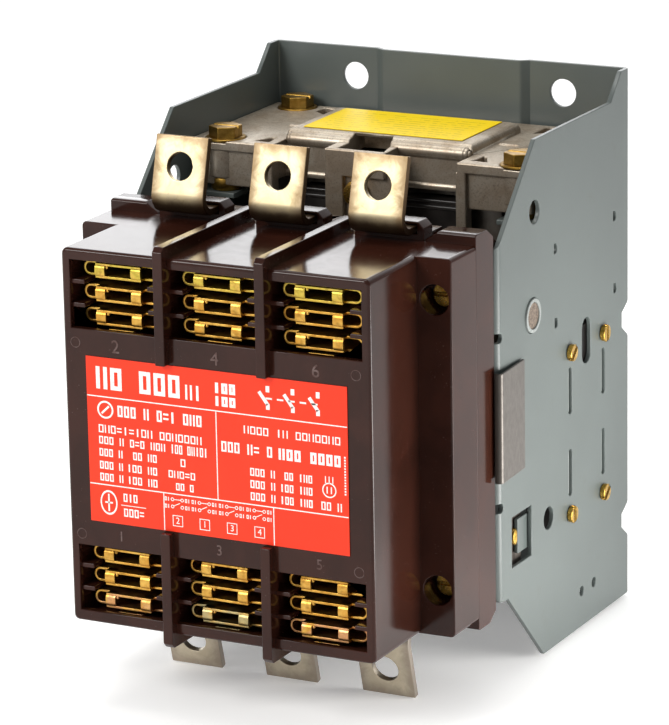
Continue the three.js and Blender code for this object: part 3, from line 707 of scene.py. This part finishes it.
class CONTACTOR_OT_rating_label(ContactorOperator):
    """Red rating label with white rules, contact symbols and greeked lines"""

    bl_idname = "contactor.rating_label"
    bl_label = "Rating label"

    DEEP = (LABEL_FACE - 0.06, LABEL_FACE + 0.05)

    def bar(self, x0, x1, z0, z1):
        """An upright rectangle of ink."""
        self.ink.box(x0, x1, *self.DEEP, z0, z1)

    def stroke(self, x0, z0, x1, z1, wide):
        """A slanting line of ink."""
        along = Vector((x1 - x0, z1 - z0)).normalized() * (wide / 2)
        side = Vector((-along.y, along.x))
        outline = [(x0 + side.x, z0 + side.y), (x1 + side.x, z1 + side.y),
                   (x1 - side.x, z1 - side.y), (x0 - side.x, z0 - side.y)]
        self.ink.prism(outline, *self.DEEP)

    def ring(self, x, z, radius, wide, flat=1.0):
        """A ring of ink."""
        profile = [(radius, self.DEEP[0]), (radius, self.DEEP[1]),
                   (radius - wide, self.DEEP[1]), (radius - wide, self.DEEP[0])]
        self.ink.lathe("y", (x, z), profile, 28, wrap=True, flat=flat)

    def glyph(self, kind, x0, x1, z0, z1, wide):
        """One greeked character: an open block, a bar, two bars or two dashes."""
        if kind == "o":
            self.bar(x0, x0 + wide, z0, z1)
            self.bar(x1 - wide, x1, z0, z1)
            self.bar(x0 + wide, x1 - wide, z0, z0 + wide)
            self.bar(x0 + wide, x1 - wide, z1 - wide, z1)
        elif kind == "i":
            mid = (x0 + x1) / 2
            self.bar(mid - wide * 0.6, mid + wide * 0.6, z0, z1)
        elif kind == "h":
            self.bar(x0, x0 + wide, z0, z1)
            self.bar(x1 - wide, x1, z0, z1)
        else:
            for z in (z0 + (z1 - z0) * 0.25, z0 + (z1 - z0) * 0.65):
                self.bar(x0, x1, z, z + wide)

    def line(self, pattern, x0, x1, z0, z1, wide):
        """A greeked line of print between x0 and x1."""
        cell = (x1 - x0) / (len(pattern) - 0.2)
        for k, kind in enumerate(pattern):
            if kind != " ":
                left = x0 + k * cell
                self.glyph(kind, left, left + cell * 0.78, z0, z1, wide)

    def build(self, look):
        refined("rating_label", red_print, 0.1)
        self.ink = Piece("rating_print")
        for z in (96.1, 59.5):
            self.bar(-58.0, 58.0, z - 0.22, z + 0.22)
        self.bar(0.1, 0.5, 59.7, 95.9)
        for x in (-24.3, 25.05):
            self.bar(x - 0.2, x + 0.2, 43.9, 59.3)
        for pattern, x0, x1, z0, z1, wide in (
            ("ho ooo", -53.7, -15.6, 99.3, 108.5, 1.75),
            ("hi", -13.2, -6.2, 99.2, 105.3, 0.9),
            ("ioo", -0.4, 9.2, 103.4, 107.7, 1.15),
            ("ioo", -0.4, 9.2, 98.2, 102.2, 1.1),
            ("ooo h o=i oho", -44.3, -6.2, 88.6, 93.2, 0.78),
            ("oho=i=ioh oohoooh", -53.2, -6.4, 81.2, 84.5, 0.52),
            ("ooo h o=o hoh", -53.2, -23.0, 76.5, 79.7, 0.52),
            ("ioo ohioi", -20.5, -4.0, 76.3, 80.0, 0.48),
            ("ooo h", -53.2, -42.6, 71.4, 74.6, 0.52),
            ("oo ho", -37.8, -27.0, 71.4, 74.6, 0.52),
            ("ooo h", -53.2, -42.6, 66.1, 69.3, 0.52),
            ("ioo ho", -40.6, -27.0, 66.1, 69.3, 0.52),
            ("ooo h", -53.2, -42.6, 61.1, 64.3, 0.52),
            ("ioo ho", -40.6, -27.0, 61.1, 64.3, 0.52),
            ("o", -16.2, -14.0, 71.2, 74.4, 0.5),
            ("oho=o", -21.8, -9.8, 66.2, 69.2, 0.48),
            ("oo o", -18.6, -10.6, 61.2, 64.2, 0.5),
            ("hooo ih oohooho", 12.6, 55.0, 88.4, 91.6, 0.5),
            ("ooo h= o", 2.4, 25.0, 79.8, 84.1, 0.72),
            ("hoo oooo", 27.8, 55.0, 79.5, 84.1, 1.05),
            ("ooo h", 15.0, 26.0, 71.4, 74.6, 0.52),
            ("oo iho", 30.2, 42.4, 71.4, 74.6, 0.52),
            ("ooo h", 15.0, 26.0, 66.4, 69.6, 0.52),
            ("ioo iho", 28.2, 42.4, 66.4, 69.6, 0.52),
            ("ooo h", 15.0, 26.0, 61.4, 64.6, 0.52),
            ("ioo iho", 28.2, 42.4, 61.4, 64.6, 0.52),
            ("oo h", 46.2, 55.2, 61.3, 64.7, 0.52),
            ("oio", -42.8, -36.4, 53.4, 56.8, 0.55),
            ("ooo=", -42.8, -33.6, 47.2, 50.6, 0.55),
        ):
            self.line(pattern, x0, x1, z0, z1, wide)
        self.bar(-44.0, -32.6, 51.7, 52.0)
        for k in range(14):
            self.bar(56.5, 57.2, 68.4 + k * 1.15, 69.1 + k * 1.15)
        self.ring(-49.9, 90.8, 3.7, 0.75)
        self.stroke(-51.6, 89.2, -48.2, 92.4, 0.8)
        self.ring(-49.6, 52.2, 3.9, 0.6, 1.32)
        self.stroke(-49.6, 48.6, -49.6, 55.8, 0.7)
        self.bar(-51.4, -47.8, 51.9, 52.6)
        # three linked switch blades, the sign for a three-pole contactor
        for x in (23.5, 34.5, 45.5):
            self.bar(x - 0.8, x + 0.8, 106.3, 108.8)
            self.bar(x - 0.8, x + 0.8, 99.2, 101.6)
            self.stroke(x, 101.2, x - 3.8, 106.2, 1.5)
        for k in range(5):
            self.bar(22.6 + k * 5.0, 25.4 + k * 5.0, 103.4, 104.1)
        # motor sign and its three supply lines
        self.ring(49.8, 69.6, 3.1, 0.5)
        for x in (48.2, 49.8, 51.4):
            self.bar(x - 0.2, x + 0.2, 72.4, 75.2)
        self.line("h", 48.6, 51.0, 68.2, 71.0, 0.5)
        # four auxiliary contact pairs, each with its number in a box
        for x, number in zip((-18.2, -6.0, 6.3, 18.6), "2134"):
            for z in (57.2, 54.2):
                self.ring(x - 2.2, z, 0.75, 0.3)
                self.ring(x + 2.2, z, 0.75, 0.3)
                for middle in (x - 4.6, x + 4.6):
                    self.line("oi", middle - 1.1, middle + 1.1, z - 0.8, z + 0.8, 0.3)
            self.bar(x - 1.5, x + 1.5, 57.05, 57.35)
            self.stroke(x - 1.6, 54.5, x + 1.2, 55.9, 0.3)
            for a, b in ((-2.3, 2.0), (2.0, -2.3)):
                self.bar(x + min(a, b), x + max(a, b) + 0.3, 48.4 + a, 48.4 + a + 0.3)
                self.bar(x + a, x + a + 0.3, 48.4 - 2.0, 48.4 + 2.0)
            self.ink.figure(number, x, 48.55, 2.7, *self.DEEP[::-1])
        self.ink.make(white_print, "label_red")


class CONTACTOR_OT_splitters(ContactorOperator):
    """Six stacks of folded brass arc splitters"""

    bl_idname = "contactor.splitters"
    bl_label = "Arc splitters"

    def unit(self, piece, x, z, sheet):
        """One flattened tube with two folded tabs across its cut-out front."""
        step, rear, front = UNIT["step"], UNIT["rear"], UNIT["front"]
        notch, tongue = UNIT["notch"], UNIT["tongue"]
        r = UNIT["high"] / 2
        flat = UNIT["half"] - r
        path = []
        for u, y in ((-flat, step), (-notch, step), (-notch, front), (-tongue, front),
                     (tongue, front), (notch, front), (notch, step), (flat, step)):
            path.append((u, r, 0.0, 1.0, y))
        arc = [math.pi / 2 - math.pi * k / 12 for k in range(1, 12)]
        path += [(flat + r * math.cos(a), r * math.sin(a), math.cos(a), math.sin(a), step)
                 for a in arc]
        path += [(-u, -v, -p, -q, y) for u, v, p, q, y in list(path)]
        rings = []
        for u, v, p, q, y in path:
            inner = (x + u - p * sheet, z + v - q * sheet)
            rings.append([(x + u, y, z + v), (x + u, rear, z + v),
                          (inner[0], rear, inner[1]), (inner[0], y, inner[1])])
        piece.loft(rings, wrap=True)
        for s in (-1, 1):
            u0, u1 = sorted((x + s * 5.9, x + s * 10.4))
            line = [(8.0, r), (5.6, r)]
            line += [(5.6 - 2.4 * math.sin(a), (r - 2.4) + 2.4 * math.cos(a))
                     for a in [math.pi / 2 * k / 8 for k in range(1, 9)]]
            line += [(y, -v) for y, v in line[::-1]]
            rings = []
            for k, (y, v) in enumerate(line):
                before, after = line[max(k - 1, 0)], line[min(k + 1, len(line) - 1)]
                way = Vector((after[0] - before[0], after[1] - before[1])).normalized()
                iy, iz = y - way.y * 1.1, v + way.x * 1.1
                rings.append([(u0, y, z + v), (u1, y, z + v), (u1, iy, z + iz), (u0, iy, z + iz)])
            piece.loft(rings)
        burr = [(0.25, -5.8), (0.75, -5.6), (0.8, -5.0), (0.5, -4.6), (0.15, -4.5)]
        piece.lathe("x", (4.5, z + r - 1.5), [(radius, x + u) for radius, u in burr], 12)

    def build(self, look):
        low = COVER_TOP - UNIT["first"] - 2 * UNIT["pitch"]
        for k, x in enumerate(POLES):
            for side, first in (("upper", UNIT["first"]), ("lower", low)):
                piece = Piece(f"splitter_stack_{side}_{k + 1}")
                for n in range(3):
                    self.unit(piece, x, first + n * UNIT["pitch"], look.splitter_sheet)
                piece.box(x - 5.6, x + 5.6, 5.0, 35.5, first - 5.4, first - 4.7)
                piece.box(x - 5, x + 5, 34.9, 35.9, first - 5.4, first + 2 * UNIT["pitch"] + 2)
                piece.make(splitter_brass, "splitter_brass", bevel=0.18,
                           replaces=(f"arc_splitter_{side}_{k + 1}",))


class CONTACTOR_OT_terminals(ContactorOperator):
    """Six plated terminal bars and the moving contact bridges"""

    bl_idname = "contactor.terminals"
    bl_label = "Terminals and bridges"

    def build(self, look):
        for k in (1, 2, 3):
            for side in ("upper", "lower"):
                refined(f"terminal_{side}_{k}", plated_bar, 0.45)
            refined(f"contact_bridge_{k}", contact_copper, 0.4,
                    body=f"bridge_{k}")
            paint(f"contact_spring_{k}", spring_wire)


class CONTACTOR_OT_frame_plate(ContactorOperator):
    """Folded sheet steel frame with its clips, bushes and latch brackets"""

    bl_idname = "contactor.frame_plate"
    bl_label = "Sheet frame"

    def build(self, look):
        refined("mounting_frame", grey_paint, look.plate_round)
        for side, s in (("left", -1), ("right", 1)):
            refined(f"side_clip_{side}", clip_steel, 0.3)
            refined(f"shaft_bush_{side}", pale_nylon, 0.35)
            bracket = Piece(f"latch_bracket_{side}")
            bracket.box(*sorted((s * 78.2, s * 79.6)), 93.5, 112.8, 9.5, 39)
            bracket.box(*sorted((s * 72, s * 78.6)), 111.4, 112.8, 9.5, 39)
            bracket.make(dark_bracket, "clip_steel", bevel=0.3)
            tab = Piece(f"latch_tab_{side}")
            tab.box(*sorted((s * 80.3, s * 81.9)), 104.6, 116, 16.6, 31.4)
            tab.make(grey_paint, "frame_paint", bevel=0.3)
            rivet = Piece(f"latch_rivet_{side}")
            rivet.lathe("x", (105.6, 23.8), [(3.8, s * 79.7), (3.9, s * 80.6), (3.6, s * 81.2),
                                             (2.4, s * 81.6), (0.6, s * 81.7)], 28)
            rivet.make(screw_brass, "screw_brass")
            sliders = Piece(f"switch_sliders_{side}")
            for y in (153.2, 187.6):
                for z in (28.4, 64.1):
                    sliders.box(*sorted((s * 80.4, s * 82.9)), y - 1.2, y + 1.2, z, z + 19)
            sliders.make(pale_nylon, "bush_nylon", bevel=0.15)


class CONTACTOR_OT_magnet(ContactorOperator):
    """Cast magnet housing, coil, core, armature and their fixings"""

    bl_idname = "contactor.magnet"
    bl_label = "Magnet system"

    def build(self, look):
        refined("magnet_housing", cast_aluminium, look.casting_round)
        refined("magnet_label", yellow_print, 0.1)
        refined("magnet_core", laminated_steel, 0.4)
        refined("armature", laminated_steel, 0.4, body="armature")
        refined("coil_bobbin", black_moulding, 0.5)
        refined("coil_winding", coil_tape, 0.6)
        for side in ("left", "right"):
            paint(f"return_spring_{side}", spring_wire)
            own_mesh(frame["nodes"][f"return_spring_{side}"])
        for n, (x, y) in enumerate(HOUSING_SCREWS):
            washer = Piece(f"housing_washer_{n + 1}")
            washer.lathe("z", (x, y), [(7.3, 171.45), (8.6, 171.45), (8.6, 172.1), (8.3, 172.4),
                                       (7.3, 172.4)], 36, wrap=True)
            washer.make(hex_brass, "hex_brass")
            spacer = Piece(f"housing_spacer_{n + 1}")
            spacer.lathe("z", (x, y), [(6.3, 149.9), (6.6, 150.4), (6.6, 154.8), (6.3, 155.3),
                                       (4.4, 155.3), (4.4, 149.9)], 28, wrap=True)
            spacer.make(hex_brass, "hex_brass")
        clamp = Piece("coil_clamp_screw")
        clamp.lathe("y", (-2.7, 155.1), [(2.2, 131.6), (5.4, 131.6), (5.6, 131.2), (5.6, 130.5),
                                         (5.4, 130.2), (4.9, 130.1), (4.9, 127.8), (4.4, 127.1),
                                         (2.4, 126.9)], 32)
        clamp.make(screw_brass, "screw_brass")


class CONTACTOR_OT_mechanism(ContactorOperator):
    """Rocker lever, its shaft and the contact carrier"""

    bl_idname = "contactor.mechanism"
    bl_label = "Mechanism"

    def build(self, look):
        refined("rocker_lever", cast_aluminium, 0.6, body="rocker")
        refined("rocker_shaft", ground_steel, 0.3, body="rocker")
        refined("contact_carrier", dark_carrier, 0.6, body="carrier")


class CONTACTOR_OT_switch_blocks(ContactorOperator):
    """Four auxiliary switch blocks inside the side plates"""

    bl_idname = "contactor.switch_blocks"
    bl_label = "Auxiliary switches"

    def build(self, look):
        for side in ("left", "right"):
            for level in ("upper", "lower"):
                refined(f"aux_block_{level}_{side}", black_moulding, 0.5)


class CONTACTOR_OT_screws(ContactorOperator):
    """Slotted brass screws and hexagon-headed housing screws"""

    bl_idname = "contactor.screws"
    bl_label = "Screws"

    TURNS = (0.05, -0.85, -0.8, 0.1)

    def build(self, look):
        for n, turn in enumerate(self.TURNS):
            for side in ("left", "right"):
                refined(f"aux_screw_{side}_{n + 1}", screw_brass, 0.4, turn=turn)
            refined(f"housing_screw_{n + 1}", hex_brass, 0.45)
        for side in ("left", "right"):
            for level in ("lower", "upper"):
                refined(f"cover_screw_{level}_{side}", screw_brass, 0.35)


class CONTACTOR_OT_stage(ContactorOperator):
    """Pale floor, soft studio light and the camera"""

    bl_idname = "contactor.stage"
    bl_label = "Stage"

    # metres: half the floor's width, and the gap that keeps the part off it
    REACH = 12.0
    GAP = 0.0004
    # each lamp's name, place, size in metres and power in watts
    LAMPS = (
        ("overhead", (-0.3, 0.1, 1.8), 1.2, 15),
        ("front_left", (-1.0, -1.9, 1.35), 1.0, 34),
        ("right_low", (0.26, -0.1, -0.06), 0.14, 0.66),
    )
    # where the camera stands, and what is right, up and behind for it
    CAMERA_AT = (0.7629, -1.59135, 0.46644)
    CAMERA_AXES = (
        (0.89101721, 0.45361633, -0.01790427),
        (-0.1053485, 0.24497195, 0.96378962),
        (0.44157675, -0.85686695, 0.26606203),
    )

    def build(self, look):
        scene = bpy.context.scene
        low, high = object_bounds()
        r = self.REACH
        corners = [(-r, -r), (r, -r), (r, r), (-r, r)]
        mesh = bpy.data.meshes.new("floor")
        mesh.from_pydata([(x, y, low.z - self.GAP) for x, y in corners], [], [(0, 1, 2, 3)])
        floor = placed("floor", mesh)
        mesh.materials.append(finish(studio_paper))
        floor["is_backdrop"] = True

        world = bpy.data.worlds.new("studio")
        scene.world = world
        world.use_nodes = True
        g = Graph(world.node_tree)
        way = g.node("ShaderNodeTexCoord", output="Generated")
        side, back, rise = [
            g.node("ShaderNodeSeparateXYZ", inputs={0: way}, output=name) for name in "XYZ"
        ]
        low_band = rise.step(-0.02, 0.06) * (1 - rise.step(0.36, 0.6))
        front = (0 - back).step(0.35, 0.85) * (1 - side.step(-0.35, 0.25))
        behind = back.step(0.3, 0.75) * (1 - side.step(-0.15, 0.4))
        glow = 0.42 + look.sky * behind * low_band + 0.35 * front * low_band
        sky = g.node("ShaderNodeBackground", None, {0: (0.98, 0.99, 1.0, 1.0), 1: glow})
        out = g.tree.nodes.new("ShaderNodeOutputWorld")
        g.tree.links.new(sky.socket, out.inputs[0])

        middle = (low + high) / 2
        for name, place, size, power in self.LAMPS:
            lamp = bpy.data.lights.new(name, "AREA")
            lamp.shape = "DISK"
            lamp.size = size
            lamp.energy = power * look.lamps
            lamp.color = (1.0, 0.985, 0.96)
            stand = placed(name, lamp)
            stand.location = place
            stand.rotation_euler = (middle - Vector(place)).to_track_quat("-Z", "Y").to_euler()
            stand.visible_camera = False

        lens = bpy.data.cameras.new("camera")
        lens.lens = look.lens
        lens.sensor_width = 36
        lens.sensor_fit = "AUTO"
        lens.clip_end = 60
        camera = placed("camera", lens)
        turned = Matrix(self.CAMERA_AXES).transposed().to_4x4()
        camera.matrix_world = Matrix.Translation(self.CAMERA_AT) @ turned
        scene.camera = camera
        scene.view_settings.view_transform = "Standard"
        scene.view_settings.look = "None"


# ------------------------------------------------------------------ settings and panel
def colour(name, text, code):
    """A colour that a user may change."""
    return bpy.props.FloatVectorProperty(
        name=name, description=text, subtype="COLOR", size=3, min=0, max=1, default=tint(code)[:3]
    )


def length(name, text, value):
    """A size or a brightness that a user may change."""
    return bpy.props.FloatProperty(name=name, description=text, default=value, min=0, unit="NONE")


class CONTACTOR_PG_looks(bpy.types.PropertyGroup):
    """Sizes in millimetres and colours that a user would change"""

    moulding: colour("Moulding", "Phenolic moulding colour", "#2f1710")
    paint: colour("Paint", "Stove enamel of the sheet frame", "#565d5b")
    brass: colour("Brass", "Clean brass of splitters and screws", "#d2a854")
    silver: colour("Terminal silver", "Bright middle of the terminal bars", "#ecdcb8")
    aluminium: colour("Aluminium", "Cast housing and lever", "#c8bdac")
    label_red: colour("Rating label", "Field of the rating label", "#f4340e")
    label_yellow: colour("Magnet label", "Foil on top of the magnet", "#efcf12")
    cover_round: length("Cover edge", "Radius round the cover's face, mm", 1.5)
    plate_round: length("Plate edge", "Radius of the sheet's edges, mm", 0.35)
    casting_round: length("Casting edge", "Radius of the casting's edges, mm", 0.7)
    splitter_sheet: length("Splitter sheet", "Thickness of the splitter brass, mm", 1.0)
    lens: length("Lens", "Camera focal length, mm", 207.26)
    sky: length("Backdrop", "Brightness of the backdrop", 3.1)
    lamps: length("Lamps", "Brightness of the lamps", 1.0)


OPERATORS = (
    CONTACTOR_OT_mouldings,
    CONTACTOR_OT_rating_label,
    CONTACTOR_OT_splitters,
    CONTACTOR_OT_terminals,
    CONTACTOR_OT_frame_plate,
    CONTACTOR_OT_magnet,
    CONTACTOR_OT_mechanism,
    CONTACTOR_OT_switch_blocks,
    CONTACTOR_OT_screws,
    CONTACTOR_OT_stage,
)


class CONTACTOR_PT_panel(bpy.types.Panel):
    """Lists the settings and the piece-making operators"""

    bl_label = "Contactor"
    bl_idname = "CONTACTOR_PT_panel"
    bl_space_type = "VIEW_3D"
    bl_region_type = "UI"
    bl_category = "Contactor"

    def draw(self, context):
        looks = context.scene.contactor_looks
        for name in looks.__annotations__:
            self.layout.prop(looks, name)
        for operator in OPERATORS:
            self.layout.operator(operator.bl_idname)


CLASSES = (CONTACTOR_PG_looks, *OPERATORS, CONTACTOR_PT_panel)


def register():
    """Makes the settings, the operators and the panel known to Blender."""
    for item in CLASSES:
        bpy.utils.register_class(item)
    bpy.types.Scene.contactor_looks = bpy.props.PointerProperty(type=CONTACTOR_PG_looks)


def unregister():
    """Takes them away again."""
    del bpy.types.Scene.contactor_looks
    for item in reversed(CLASSES):
        bpy.utils.unregister_class(item)


def main():
    """Makes every piece and the stage."""
    register()
    for operator in OPERATORS:
        getattr(bpy.ops.contactor, operator.bl_idname.split(".")[1])()


if __name__ == "__main__":
    main()
